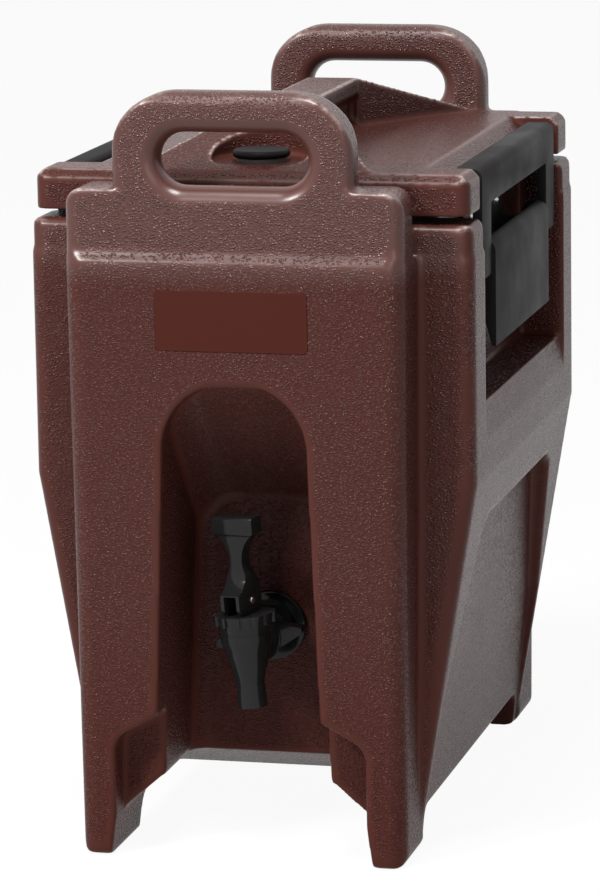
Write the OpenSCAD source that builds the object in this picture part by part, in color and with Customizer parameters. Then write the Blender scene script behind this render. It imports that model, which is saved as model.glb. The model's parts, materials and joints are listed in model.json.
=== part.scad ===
// Insulated beverage carrier: a double-walled moulded body with hand grips at both ends,
// a lift-off lid held by two side latches, and a lever tap in a recess at the front.
// Front is -Y, right is +X, up is +Z. The origin is on the floor, under the middle of the body.

/* [Body] */
// Height from the floor to the top of the hand grips
overall_h = 467; // [455:1:485]
// Depth from the front face to the rear face
body_d = 416; // [408:1:430]
// Width of the front and rear columns at the ledge
column_w = 208; // [202:1:212]
// How far each column side draws in between the ledge and the floor
column_draw = 3; // [1:0.5:5]
// Radius of the upright column corners
column_r = 14; // [9:1:18]
// Depth of the ledge below the rim, where it runs round the columns
ledge_drop = 19; // [13:1:27]
// How far the upper band stands back from the ledge
ledge_step = 4; // [2:0.5:6]
// Height of the slope from the ledge up to the band
ledge_rise = 6; // [3:0.5:10]
// Height of the hand grips above the shoulders beside them
grip_h = 58; // [55:1:65]
// Radius of the shoulders
shoulder_r = 12; // [6:1:16]
// Thickness of the end walls that stand up at the lid's ends
end_wall_t = 36; // [33:1:38]
// Width across the two side wings
wing_w = 274; // [270:1:282]
// How far the columns stand out beyond the wings, at each end
column_out = 43; // [38:1:45]
// Radius of the upright wing corners
wing_r = 10; // [6:1:14]
// Distance from the pocket sill down to where the wings begin to draw in
knee_drop = 24; // [15:1:35]
// Width across the wings where they run into the feet
wing_foot_w = 202; // [198:1:206]
// Height of the shoulders above the rim under the lid
shoulder_h = 24; // [23:0.5:27]
// Rounding of the rim's outer edge
rim_r = 6; // [3:1:8]
// How far the wings stand back above the ledge
wing_step = 0.8; // [0.6:0.1:2]
// Thickness of the moulded skin
skin = 5; // [4:0.5:6]

/* [Feet] */
// Depth of each foot
foot_d = 67; // [60:1:76]
// Half the gap between the left and right feet, at the floor
foot_gap_low = 82; // [78:1:85]
// Half the gap between the left and right feet, at its top
foot_gap_top = 78; // [74:1:79]
// Height of the underside at the front and rear
belly_end_z = 47; // [42:1:52]
// Height of the underside along the middle and at the sides
belly_z = 22; // [18:1:28]
// How far back the hollow beside each front foot goes
foot_hollow_d = 20; // [14:1:26]
// Height of the top of that hollow
foot_hollow_z = 93; // [84:1:98]
// Corner radius of that hollow
foot_hollow_r = 12; // [8:1:16]
// Slope of the hollow's upper edge
foot_hollow_slope = 30; // [20:1:36]
// Height at which the feet's inner faces turn in to the underside
foot_gap_z = 26; // [20:1:30]
// Rounding of the feet at the floor
foot_r = 7; // [4:1:9]

/* [Hand grips] */
// Width of each hand grip
grip_w = 148; // [142:1:156]
// Thickness of each hand grip
grip_t = 25; // [24:1:30]
// Radius of the grip's upper corners
grip_r = 40; // [32:1:44]
// Rounding of the grip's edges
grip_edge_r = 9; // [6:1:11]
// Width of the hand hole
hole_w = 91; // [84:1:94]
// Height of the hand hole
hole_h = 32; // [29:1:34]
// Depth of the hand hole's middle below the top of the grip
hole_drop = 40.5; // [37:0.5:42]
// Radius of the flared mouth of the hand hole
hole_flare = 11; // [7:1:13]

/* [Tap recess] */
// Width of the recess at the spring of its arch
recess_w = 88.5; // [86:0.5:96]
// Width of the recess at the bottom
recess_low_w = 107; // [102:1:110]
// Height of the crown of the arch above the tap's inlet
recess_rise = 166; // [160:1:172]
// Radius of the arch's corners
recess_r = 41; // [34:1:42]
// Depth of the recess from the front face to the tap pad
recess_d = 88; // [84:1:92]
// Radius of the inner upright corners of the recess
recess_back_r = 19; // [12:1:22]
// Radius along both edges of the recess's sloping roof
recess_roof_r = 34; // [24:1:38]
// Slope of the recess's roof
recess_slope = 44; // [40:1:48]

/* [Latch pockets] */
// Length of each latch pocket
pocket_l = 254; // [248:1:262]
// Depth of each latch pocket into the wing
pocket_d = 30; // [28.5:0.5:32]
// Height of each latch pocket, from its floor to the rim
pocket_h = 115; // [109:1:123]
// Fall of the bevel along the sill's outer edge
sill_fall = 20; // [16:1:28]
// Width of the bevel along the sill's outer edge
sill_bevel = 4; // [3:0.5:6]

/* [Side panels] */
// Length of the sunk panel on each side
panel_l = 228; // [210:1:236]
// Distance of the sunk panel's top below the wing's knee
panel_drop = 29; // [22:1:41]
// Depth of the sunk panel
panel_d = 13; // [9:0.5:15]
// Radius of the panel's upper corners
panel_r = 24; // [16:1:30]
// How much the panel's ends splay outwards
panel_splay = 23; // [10:1:28]

/* [Tub] */
// Width of the tub at its mouth
tub_w = 160; // [150:1:164]
// Thickness of the end walls from the tub's mouth to the front and rear faces
tub_end_wall = 68; // [66:1:73]
// How far each tub wall draws in on the way down
tub_draw = 5; // [2:0.5:7]
// Corner radius of the tub
tub_r = 28; // [20:1:34]
// Height of the tub floor at the outlet
tub_floor_z = 112; // [106:1:113]
// Rise of the tub floor from the outlet to the rear
tub_fall = 6; // [3:1:10]
// Thickness of the tub wall
tub_t = 4; // [3:0.5:4.5]
// Thickness of the foam between the tap pad and the tub
outlet_foam = 16; // [12:1:20]

/* [Lid] */
// Width of the lid
lid_w = 268; // [264:1:270]
// Gap between the lid and each end wall
lid_end_gap = 7; // [6:0.5:9]
// Gap between the rim and the underside of the lid
lid_gap = 5; // [4:0.5:7]
// Thickness of the lid at its edge
lid_t = 24.5; // [23:0.5:26]
// Bevel round the lid's upper edge
lid_bevel = 5.5; // [4:0.5:7]
// Corner radius of the lid
lid_r = 9; // [6:1:12]
// Height of the central handle above the lid's flat top
hump_h = 32; // [28:1:34]
// Half length of the handle's level top
hump_flat = 57; // [50:1:62]
// Width of the handle between the finger spaces
hump_w = 34; // [30:1:38]
// Width of the raised form at the front and rear of the lid
hump_end_w = 150; // [136:1:160]
// Depth of the finger groove under each edge of the handle
hump_groove = 6; // [4:0.5:7]
// Thickness of the handle above the finger groove
hump_lip = 11; // [9:0.5:13]
// Depth of the plug that goes down into the tub
plug_h = 16; // [12:1:20]
// Clearance between the plug and the tub
plug_clear = 4; // [3:0.5:6]
// Angle of the slopes that the latch bails bear on
bail_slope = 36; // [34:1:37]
// Length of each latch trough in the lid
trough_l = 252; // [246:1:258]
// How far the lid stands back at the latches
trough_step = 10; // [9:0.5:11]

/* [Vent] */
// Distance of the vent from the front edge of the lid
vent_in = 33; // [31:1:39]
// Diameter of the sunk seat round the vent
vent_seat_w = 60; // [52:1:62]
// Height of that seat above the lid's flat top
vent_seat_up = 2.5; // [1.5:0.5:4]
// Diameter of the vent cap
vent_cap_w = 35; // [30:1:38]
// Thickness of the vent cap
vent_cap_t = 5; // [4:0.5:7]
// Diameter of the vent bore
vent_bore = 16; // [12:1:18]

/* [Latches] */
// Length of each latch lever
lever_l = 172; // [160:1:176]
// Depth of the lever's pivot below the rim
lever_pivot_drop = 27; // [25:1:29]
// Height of the lever, from its lower edge to its pivot
lever_h = 58; // [52:1:62]
// Outer radius of the rolled top of the lever
lever_roll_r = 8.5; // [8:0.5:9]
// Thickness of the lever plate
lever_t = 2.6; // [2:0.1:2.8]
// Thickness of the lever's end cheeks
cheek_t = 3; // [2.5:0.5:4]
// Diameter of the lever pin
lever_pin_d = 6; // [5:0.5:7]
// Length of each latch bail
bail_l = 232; // [226:1:236]
// Thickness of the bail plate
bail_t = 6; // [5:0.5:6.5]
// Gap between the lever and the bail's legs
bail_gap = 2.5; // [2:0.5:4]
// Height of the crossbar's lower edge above the lever's pivot
bail_bar_up = 31; // [26:1:33]
// Diameter of the bail's pivot studs
bail_stud_d = 6; // [5:0.5:7]
// Radius of the bail's nose that bears on the lid
bail_nose_r = 4.2; // [3.8:0.1:4.3]
// Length of the bracket behind each lever
bracket_l = 124; // [116:1:136]
// Thickness of the bracket plate
bracket_t = 3; // [2.5:0.5:4]

/* [Tap] */
// Height of the tap's inlet
tap_z = 128; // [126:1:130]
// Distance from the tap pad to the tap's upright axis
tap_reach = 62; // [60:1:66]
// Length from the inlet down to the nozzle tip
nozzle_drop = 36; // [34:0.5:42]
// Sideways lean of the tap, as it was screwed home
tap_lean = 4; // [0:0.5:10]
// Radius of the nozzle
nozzle_r = 8.7; // [8:0.1:9.2]
// Radius of the widest part of the tap body
cup_r = 15.6; // [15.2:0.1:16.4]
// Outer radius of the ribbed bonnet
bonnet_r = 19; // [18.6:0.1:20]
// Number of grip ribs round the bonnet
bonnet_ribs = 12; // [8:1:16]
// Height of the bonnet's top above the inlet
bonnet_top = 22; // [21:0.5:24]
// Height of the lever pin above the bonnet
tap_pin_up = 8; // [7.5:0.5:9]
// Diameter of the tap's lever pin
tap_pin_d = 4.4; // [4:0.2:5]
// Length of the tap lever above its pin
tap_lever_l = 51.5; // [50:0.5:58]
// Width of the crosswise head of the tap lever
tap_head_w = 28; // [24:1:30]
// Turn of the tap lever about the stem
lever_turn = 18; // [0:1:24]
// Reach of the lever's foot in front of its pin
lever_heel = 15; // [13:0.5:16]
// Reach of the lever's foot behind its pin
lever_toe = 10; // [8:0.5:12]
// Width of the lever's forked foot
lever_foot_w = 13.2; // [12.8:0.2:15]
// Width of the lever's neck at its narrowest
lever_neck_w = 8.8; // [7.5:0.1:10]
// Diameter of the threaded shank through the wall
shank_d = 22; // [20:0.5:24]
// Diameter of the water way
bore_d = 10; // [8:0.5:11]
// Reach of the wings on the union nut
wing_nut_r = 28; // [24:1:30]
// Turn of the union nut's wings from level
wing_nut_turn = 11; // [0:1:40]

/* [Clearances] */
// Radial clearance of running pins
pin_clear = 0.06; // [0.03:0.01:0.1]
// Clearance of parts that are screwed or slid together
fit_clear = 0.2; // [0.1:0.05:0.4]
// Gap between the bail and the lid when latched
bail_clear = 0.4; // [0.3:0.05:0.6]

/* [Hidden] */
$fn = 64;
cut = 1;
brown = [0.30, 0.17, 0.145];
black = [0.07, 0.07, 0.075];
cream = [0.90, 0.86, 0.70];
grey = [0.30, 0.30, 0.31];
steel = [0.70, 0.71, 0.73];
clear_rubber = [0.82, 0.82, 0.78];

// Body
front_y = -body_d / 2;
shoulder_z = overall_h - grip_h;
hole_z = overall_h - hole_drop;
rim_z = shoulder_z - shoulder_h;
ledge_z = rim_z - ledge_drop;
pocket_floor_z = rim_z - pocket_h;
pocket_sill_z = pocket_floor_z - sill_fall;
knee_z = pocket_sill_z - knee_drop;
panel_top_z = knee_z - panel_drop;
recess_top_z = tap_z + recess_rise;
wing_d = body_d - 2 * column_out;
tub_d = body_d - 2 * tub_end_wall;
band_y = front_y + ledge_step;
band_step = 0.5;
band_w = column_w - 2 * band_step;
column_lean = atan(column_draw / ledge_z);
wing_x = wing_w / 2;
wing_foot_rise = 14;
wing_slope = (wing_x - wing_foot_w / 2) / (knee_z - wing_foot_rise);
panel_top_x = wing_x - (knee_z - panel_top_z) * wing_slope - panel_d;
panel_low_d = 2;
panel_edge = 5;
panel_low_x = wing_x - (knee_z - belly_z) * wing_slope - panel_low_d;
panel_lean = atan((panel_top_x - panel_low_x) / (panel_top_z - belly_z));
knee_step = 0.3;
wing_lean = atan(wing_slope);
wing_len = knee_z / cos(wing_lean);
wing_lap = 30;
wing_span = wing_x - column_w / 2 + wing_lap;
core_step = 1;
core_w = column_w - 2 * column_draw - 2 * core_step;
core_d = -2 * (band_y + end_wall_t - cut);
pad_y = front_y + recess_d;
arch_spring_z = recess_top_z - recess_r;
pocket_x = wing_x - pocket_d;

// Tub
tub_front_y = pad_y + skin + outlet_foam + tub_t;
tub_bend_z = recess_top_z - recess_d * tan(recess_slope) + skin;
tub_bend_rise = 90;
wing_ledge_z = ledge_z - wing_step;
foam_low_z = belly_end_z + skin;
feet_drop = 2;
feet_top_z = belly_z - feet_drop;
grip_low_z = rim_z + cut;
end_cut_y = pad_y - skin - cut;

// Lid
lid_z = rim_z + lid_gap;
lid_d = body_d - 2 * (ledge_step + end_wall_t + lid_end_gap);
vent_y = lid_d / 2 - vent_in;
lid_top_z = lid_z + lid_t;
hump_z = lid_top_z + hump_h;
plug_w = tub_w - 2 * plug_clear;
plug_d = tub_d - 2 * plug_clear;
plug_r = tub_r - plug_clear;
gasket_w = 12;
notch_x = lid_w / 2 - trough_step;
ridge_in = 23;
ridge_x = notch_x - ridge_in;
seat_z = lid_top_z + vent_seat_up;
vent_seal_t = 2.5;

// Latch: the lever turns on its pin, and the bail turns on studs in the lever's cheeks
lever_pivot_z = rim_z - lever_pivot_drop;
lever_low_z = lever_pivot_z - lever_h;
bail_bar_low_z = lever_pivot_z + bail_bar_up;
lever_inset = 2;
lever_x = wing_x - lever_inset;
pivot_x = lever_x - lever_roll_r;
stud_in = 5.5;
stud_x = pivot_x - stud_in;
stud_drop = 11;
stud_z = lever_pivot_z - stud_drop;
roll_in_r = lever_roll_r - lever_t;
roll_clear = 0.4;
hub_r = roll_in_r - roll_clear;
bail_inset = 1;
bail_x = lid_w / 2 - bail_inset;
bail_in_x = bail_x - bail_t;
bail_sink = 2;
bail_top_z = lid_top_z - bail_sink;
bail_crown_r = 5.5;
nose_in = 6.5;
nose_x = notch_x - nose_in;
leg_y = lever_l / 2 + bail_gap;
ear_in = 12;
ear_y = bracket_l / 2 - ear_in;
ear_t = 8;
bracket_h = 44;
screw_in = 24;
screw_y = bracket_l / 2 - screw_in;
screw_up = 15;
screw_r = 2.2;

// Tap
tap_y = pad_y - tap_reach;
shank_r = shank_d / 2;
washer_t = 3.5;
washer_lip = 10.5;
seal_lip = 3.5;
nut_t = 7;
seal_t = 2.5;
union_t = 1.5;
collar_t = 4;
shank_out = 30;
wing_nut_l = 22;
shank_end_y = pad_y - shank_out;
collar_y = shank_end_y - union_t;
inlet_step = 1.5;
inlet_r = shank_r - inlet_step;
union_wall = 2.8;
chamber_r = 10.3;
chamber_sump = 0.5;
chamber_low = -(bore_d / 2 + chamber_sump);
cone_h = 14.5;
cone_low = chamber_low - cone_h;
cone_top = 5;
bonnet_low = 11;
thread_h = 0.6;
thread_r = cup_r - thread_h;
lever_top = bonnet_top + tap_pin_up + tap_lever_l;
stem_r = 2.6;
pin_up = bonnet_top + tap_pin_up;
foot_clear = 0.35;
cheek_in = 4.3;
stem_head_r = 4;
neck_curve_r = 20;
head_h = 12;
neck_up = 24.5;
neck_z = bonnet_top + tap_pin_up + neck_up;
heel_curve_r = 16;
toe_curve_r = 14;
flare_up = 20;
flare_z = bonnet_top + tap_pin_up + flare_up;

// Solids from outlines

// A front-view outline (x, z) drawn out between two depths
module along_y(y0, y1) {
    translate([0, y1, 0])
        rotate([90, 0, 0])
            linear_extrude(y1 - y0)
                children();
}

// A side-view outline (y, z) drawn out between two widths
module along_x(x0, x1) {
    translate([x0, 0, 0])
        rotate([90, 0, 90])
            linear_extrude(x1 - x0)
                children();
}

// A plan (x, y) drawn out between two heights
module along_z(z0, z1) {
    translate([0, 0, z0])
        linear_extrude(z1 - z0)
            children();
}

// A rectangle between limits, with round corners
module soft_rect(x0, x1, y0, y1, r) {
    translate([x0 + r, y0])
        square([x1 - x0 - 2 * r, y1 - y0]);
    translate([x0, y0 + r])
        square([x1 - x0, y1 - y0 - 2 * r]);
    for (x = [x0 + r, x1 - r], y = [y0 + r, y1 - r])
        translate([x, y])
            circle(r);
}

// The same rectangle, even about the upright axis
module soft_panel(w, y0, y1, r) {
    soft_rect(-w / 2, w / 2, y0, y1, r);
}

// A round bar or hole along Y at a place in the front view
module bar_y(x, z, r, y0, y1) {
    along_y(y0, y1)
        translate([x, z])
            circle(r);
}

module both_sides() {
    children();
    mirror([1, 0, 0])
        children();
}

module both_ends() {
    children();
    mirror([0, 1, 0])
        children();
}

// Body

// One column quarter, leaning in by the draw of the mould
module column_quarter(inset) {
    translate([column_w / 2 - inset, front_y + inset, ledge_z])
        rotate([0, column_lean, 0])
            along_z(-ledge_z - cut, 0)
                soft_rect(-column_w / 2 - 2 * column_r, 0, 0, foot_d - 2 * inset, column_r);
}

// One side wing: upright with a fine step at the ledge, then leaning in to the feet from the knee
module wing(inset) {
    front = inset - wing_d / 2;
    band_front = front + wing_step;
    top = rim_z - inset;
    translate([wing_x - inset, 0, 0]) {
        along_z(knee_z, wing_ledge_z)
            soft_rect(-wing_span, 0, front, -front, wing_r);
        intersection() {
            along_z(wing_ledge_z - cut, top)
                soft_rect(-wing_span, -wing_step, band_front, -band_front, wing_r);
            along_y(band_front, -band_front)
                soft_rect(-wing_span - rim_r, -wing_step, 0, top, rim_r);
            along_x(-wing_span, 0)
                soft_rect(band_front, -band_front, 0, top, rim_r);
        }
    }
    difference() {
        translate([wing_x - inset - knee_step, 0, knee_z])
            rotate([0, wing_lean, 0])
                along_z(-wing_len, wing_span)
                    soft_rect(-wing_span, 0, front + knee_step, -front - knee_step, wing_r - knee_step);
        along_z(knee_z + knee_step, knee_z + wing_w)
            square([2 * wing_w, 2 * wing_d], center = true);
    }
}

// Columns, wings and the block between them, below the rim
module lower_form(inset) {
    both_sides() {
        both_ends()
            column_quarter(inset);
        wing(inset);
    }
    along_z(belly_z, rim_z - inset)
        soft_panel(core_w - 2 * inset, inset - core_d / 2, core_d / 2 - inset, wing_r);
}

// Upper band of an end wall, with its rounded shoulders
module end_band() {
    intersection() {
        along_z(ledge_z - cut, shoulder_z)
            soft_panel(band_w, band_y, band_y + end_wall_t, column_r - ledge_step);
        along_y(front_y, 0)
            soft_panel(band_w, 0, shoulder_z, shoulder_r);
    }
}

// Slope from the ledge up to the band, on the front and both sides
module ledge_slope() {
    low = ledge_z - 2;
    top = ledge_z + ledge_rise;
    edge_x = column_w / 2 - knee_step;
    edge_y = front_y + knee_step;
    back_y = band_y + end_wall_t - cut;
    intersection() {
        along_z(low, top)
            soft_panel(2 * edge_x, edge_y, back_y, column_r);
        along_y(front_y, 0)
            polygon([
                [-edge_x, low],
                [edge_x, low],
                [edge_x, ledge_z],
                [band_w / 2, top],
                [-band_w / 2, top],
                [-edge_x, ledge_z]
            ]);
        along_x(-column_w, column_w)
            polygon([
                [edge_y, low],
                [edge_y, ledge_z],
                [band_y, top],
                [back_y, top],
                [back_y, low]
            ]);
    }
}

// Section through one half of the hand hole: distance from its axis, then depth through the grip
module hole_section() {
    translate([0, -cut])
        square([hole_h / 2, grip_t + 2 * cut]);
    translate([0, grip_t])
        square([hole_h / 2 + hole_flare, end_wall_t - grip_t + cut]);
    for (back = [0, 1])
        translate([hole_h / 2, back * grip_t])
            mirror([0, back])
                difference() {
                    translate([0, -cut])
                        square([hole_flare, hole_flare + cut]);
                    translate([hole_flare, hole_flare])
                        circle(hole_flare);
                }
}

// The hand hole: a slot with round ends and flared mouths
module hand_hole() {
    run = (hole_w - hole_h) / 2;
    translate([0, band_y, hole_z]) {
        for (x = [-run, run])
            translate([x, 0, 0])
                rotate([-90, 0, 0])
                    rotate_extrude()
                        hole_section();
        along_x(-run, run)
            for (down = [0, 1])
                mirror([0, down])
                    mirror([1, -1])
                        hole_section();
    }
}

// Hand grip standing on the end wall
module hand_grip() {
    intersection() {
        along_y(band_y, band_y + grip_t)
            soft_panel(grip_w, ledge_z - grip_r, overall_h, grip_r);
        along_z(ledge_z, overall_h)
            soft_panel(grip_w, band_y, band_y + grip_t, grip_edge_r);
        along_x(-grip_w, grip_w)
            soft_rect(band_y, band_y + grip_t, ledge_z - grip_edge_r, overall_h, grip_edge_r);
    }
}

// Arched recess for the tap, with a ceiling that slopes down to the tap pad
module tap_recess(grow) {
    deep = pad_y + grow;
    intersection() {
        along_y(front_y - cut, deep) {
            soft_panel(recess_w + 2 * grow, arch_spring_z - 2 * recess_r, recess_top_z + grow, recess_r);
            polygon([
                [-recess_low_w / 2 - grow, -cut],
                [recess_low_w / 2 + grow, -cut],
                [recess_w / 2 + grow, arch_spring_z],
                [-recess_w / 2 - grow, arch_spring_z]
            ]);
        }
        along_z(-cut, recess_top_z + grow + cut)
            soft_panel(recess_low_w + 2 * grow, front_y - recess_back_r - cut, deep, recess_back_r);
        translate([0, front_y, recess_top_z])
            rotate([-recess_slope, 0, 0])
                along_y(-overall_h, overall_h)
                    soft_panel(recess_low_w + 2 * grow, -2 * overall_h, grow, recess_roof_r);
    }
}

// Pocket in the right wing for the latch: open above, with a flat sill and a bevelled outer edge
module latch_pocket(grow) {
    half = pocket_l / 2 + grow;
    inner_x = pocket_x - grow;
    floor_z = pocket_floor_z - grow;
    low_z = pocket_sill_z - grow - 2;
    bevel_x = wing_x - grow + 2 * sill_bevel / (pocket_floor_z - pocket_sill_z);
    along_y(-half, half)
        polygon([
            [inner_x, rim_z + 2 * cut],
            [inner_x, floor_z],
            [wing_x - sill_bevel - grow, floor_z],
            [bevel_x, low_z],
            [wing_x + 2 * cut, low_z],
            [wing_x + 2 * cut, rim_z + 2 * cut]
        ]);
}

// Half of the side panel's outline, splayed outwards below its round corner
module panel_half(grow) {
    corner_y = panel_l / 2 - panel_r;
    corner_z = panel_top_z - panel_r;
    r = panel_r + grow;
    side_y = corner_y + r * cos(panel_splay);
    side_z = corner_z + r * sin(panel_splay);
    end_y = wing_d / 2 - wing_r - panel_edge + grow;
    end_z = side_z - (end_y - side_y) / tan(panel_splay);
    translate([corner_y, corner_z])
        circle(r);
    polygon([
        [-cut, -belly_z],
        [end_y, -belly_z],
        [end_y, end_z],
        [side_y, side_z],
        [corner_y, corner_z],
        [corner_y, corner_z + r],
        [-cut, corner_z + r]
    ]);
}

// Sunk panel in the leaning face of the right wing, deepest at its top
module side_panel(grow) {
    intersection() {
        along_x(0, wing_w)
            for (back = [0, 1])
                mirror([back, 0])
                    panel_half(grow);
        translate([panel_low_x - grow, 0, belly_z])
            rotate([0, panel_lean, 0])
                along_z(-wing_w, wing_w)
                    translate([0, -wing_d])
                        square([wing_w, 2 * wing_d]);
    }
}

// Space under the body: between left and right feet, and between front and rear feet
module under_space() {
    intersection() {
        along_y(front_y - cut, -front_y + cut)
            polygon([
                [-foot_gap_low, -2 * cut],
                [foot_gap_low, -2 * cut],
                [foot_gap_top, foot_gap_z],
                [recess_low_w / 2 - cut, belly_end_z + cut],
                [cut - recess_low_w / 2, belly_end_z + cut],
                [-foot_gap_top, foot_gap_z]
            ]);
        along_x(-column_w, column_w)
            polygon([
                [front_y - cut, -2 * cut],
                [front_y - cut, belly_end_z],
                [pad_y, belly_end_z],
                [pad_y / 2, belly_z],
                [-pad_y / 2, belly_z],
                [-pad_y, belly_end_z],
                [cut - front_y, belly_end_z],
                [cut - front_y, -2 * cut]
            ]);
    }
    side_half = -front_y - foot_d;
    along_x(-wing_w, wing_w)
        soft_rect(-side_half, side_half, -belly_z, belly_z, foot_hollow_r / 2);
    along_z(-wing_w, 0)
        square([2 * wing_w, 2 * body_d], center = true);
}

// Hollow stepped back beside the left front foot, its upper edge rising to the tap recess
module foot_hollow(grow) {
    r = foot_hollow_r + grow;
    in_x = foot_hollow_r - recess_low_w / 2;
    turn_x = foot_hollow_r - foot_gap_top;
    rise_x = turn_x - r * sin(foot_hollow_slope);
    turn_z = foot_hollow_z - (in_x - turn_x) * tan(foot_hollow_slope) - foot_hollow_r;
    rise_z = turn_z + r * cos(foot_hollow_slope);
    along_y(front_y - cut, front_y + foot_hollow_d + grow) {
        translate([turn_x, turn_z])
            circle(r);
        polygon([
            [turn_x - r, -foot_hollow_r],
            [turn_x - r, turn_z],
            [turn_x, turn_z],
            [rise_x, rise_z],
            [in_x, rise_z + (in_x - rise_x) * tan(foot_hollow_slope)],
            [in_x, -foot_hollow_r]
        ]);
    }
}

// Rounding at the floor along a foot's outer side and its outer end
module foot_rounding() {
    foot_x = column_w / 2 - column_draw;
    along_y(front_y - cut, 0)
        translate([foot_x - foot_r, 0])
            difference() {
                square([foot_r + column_draw, foot_r]);
                translate([0, foot_r])
                    circle(foot_r);
            }
    along_x(0, wing_x)
        translate([front_y, 0])
            difference() {
                translate([-cut, 0])
                    square([foot_r + cut, foot_r]);
                translate([foot_r, foot_r])
                    circle(foot_r);
            }
}

module body_outer() {
    difference() {
        union() {
            lower_form(0);
            both_ends() {
                ledge_slope();
                end_band();
                hand_grip();
            }
        }
        both_ends()
            hand_hole();
        tap_recess(0);
        both_sides() {
            latch_pocket(0);
            side_panel(0);
            foot_hollow(0);
            both_ends()
                foot_rounding();
        }
        under_space();
    }
}

// The tub's outline, taken out by a wall thickness
module tub_form(grow) {
    front = tub_front_y - grow;
    half_d = tub_d / 2 + grow;
    half_w = tub_w / 2 + grow;
    low = tub_floor_z - grow;
    intersection() {
        along_z(low, rim_z + 2 * cut)
            soft_panel(2 * half_w, -half_d, half_d, tub_r + grow);
        along_x(-half_w, half_w)
            polygon([
                [front, low],
                [front, tub_bend_z],
                [-half_d, tub_bend_z + tub_bend_rise],
                [-half_d, rim_z + 2 * cut],
                [half_d, rim_z + 2 * cut],
                [half_d - tub_draw, low + tub_fall]
            ]);
        along_y(-half_d, half_d)
            polygon([
                [-half_w + tub_draw, low],
                [half_w - tub_draw, low],
                [half_w, rim_z + 2 * cut],
                [-half_w, rim_z + 2 * cut]
            ]);
    }
}

// The shank's hole through the wall at the tap pad
module shank_hole(clear) {
    bar_y(0, tap_z, shank_r + clear, pad_y - cut, tub_front_y + cut);
}

// Foam between the skin and the tub
module foam_form() {
    difference() {
        intersection() {
            lower_form(skin);
            along_z(foam_low_z, rim_z - skin)
                square([2 * wing_w, 2 * body_d], center = true);
        }
        tap_recess(skin);
        both_sides() {
            latch_pocket(skin);
            side_panel(skin);
            foot_hollow(skin);
        }
        tub_form(tub_t);
        bar_y(0, tap_z, shank_r + skin, front_y, 0);
    }
}

module screw_places() {
    for (y = [-screw_y, screw_y], z = [-screw_up, screw_up])
        translate([0, y, lever_pivot_z + z])
            children();
}

// The moulded skin between two depths, above the feet and below the grips
module body_skin(y0, y1) {
    color(brown)
        intersection() {
            difference() {
                body_outer();
                foam_form();
                tub_form(tub_t);
                shank_hole(fit_clear);
                both_sides()
                    screw_places()
                        translate([pocket_x - skin + cut, 0, 0])
                            rotate([0, 90, 0])
                                cylinder(r = screw_r + pin_clear, h = skin);
            }
            along_z(feet_top_z, grip_low_z)
                translate([-wing_w, y0])
                    square([2 * wing_w, y1 - y0]);
        }
}

module body_shell() {
    body_skin(end_cut_y, -end_cut_y);
}

module front_end() {
    body_skin(-body_d, end_cut_y);
}

module rear_end() {
    body_skin(-end_cut_y, body_d);
}

module feet() {
    color(brown)
        intersection() {
            body_outer();
            along_z(-cut, feet_top_z)
                square([2 * wing_w, 2 * body_d], center = true);
        }
}

module front_grip() {
    color(brown)
        difference() {
            intersection() {
                union() {
                    end_band();
                    hand_grip();
                }
                along_z(grip_low_z, overall_h + cut)
                    square([2 * wing_w, 2 * body_d], center = true);
            }
            hand_hole();
        }
}

module rear_grip() {
    mirror([0, 1, 0])
        front_grip();
}

module foam_core() {
    color(cream)
        foam_form();
}

module tub_liner() {
    color(brown)
        difference() {
            intersection() {
                tub_form(tub_t);
                along_z(0, rim_z)
                    square([2 * tub_w, 2 * tub_d], center = true);
            }
            tub_form(0);
            shank_hole(fit_clear);
        }
}

// Lid

// A rectangle with bevelled upper corners
module bevelled(w) {
    polygon([
        [-w / 2, lid_z],
        [w / 2, lid_z],
        [w / 2, lid_top_z - lid_bevel],
        [w / 2 - lid_bevel, lid_top_z],
        [lid_bevel - w / 2, lid_top_z],
        [-w / 2, lid_top_z - lid_bevel]
    ]);
}

module lid_slab() {
    intersection() {
        along_z(lid_z, lid_top_z)
            soft_panel(lid_w, -lid_d / 2, lid_d / 2, lid_r);
        along_y(-lid_d, lid_d)
            bevelled(lid_w);
        along_x(-lid_w, lid_w)
            bevelled(lid_d);
    }
}

// Raised form: a ridge seen from the side and an hourglass seen from above
module lid_hump() {
    end_y = lid_d / 2 - lid_bevel;
    intersection() {
        along_x(-lid_w / 2, lid_w / 2)
            polygon([
                [-end_y, lid_top_z - cut],
                [-end_y, lid_top_z],
                [-hump_flat, hump_z],
                [hump_flat, hump_z],
                [end_y, lid_top_z],
                [end_y, lid_top_z - cut]
            ]);
        along_z(lid_top_z - cut, hump_z)
            polygon([
                [-hump_end_w / 2, -end_y],
                [hump_end_w / 2, -end_y],
                [hump_w / 2, -hump_flat],
                [hump_w / 2, hump_flat],
                [hump_end_w / 2, end_y],
                [-hump_end_w / 2, end_y],
                [-hump_w / 2, hump_flat],
                [-hump_w / 2, -hump_flat]
            ]);
    }
}

// Finger groove under the right edge of the handle
module finger_groove() {
    along_y(-hump_flat, hump_flat)
        soft_rect(
            hump_w / 2 - hump_groove, hump_w,
            lid_top_z + vent_seat_up, hump_z - hump_lip, hump_groove
        );
}

// Right-hand trough and step in the lid's edge, with the slope that the bail bears on
module latch_trough() {
    slope_low = lid_top_z - (notch_x - ridge_x) * tan(bail_slope);
    along_y(-trough_l / 2, trough_l / 2)
        polygon([
            [ridge_x, lid_top_z],
            [notch_x, slope_low],
            [notch_x, lid_z - cut],
            [lid_w / 2 + cut, lid_z - cut],
            [lid_w / 2 + cut, lid_top_z + cut],
            [ridge_x, lid_top_z + cut]
        ]);
}

module lid_plug() {
    along_z(lid_z - plug_h, lid_z)
        soft_panel(plug_w, -plug_d / 2, plug_d / 2, plug_r);
}

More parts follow.
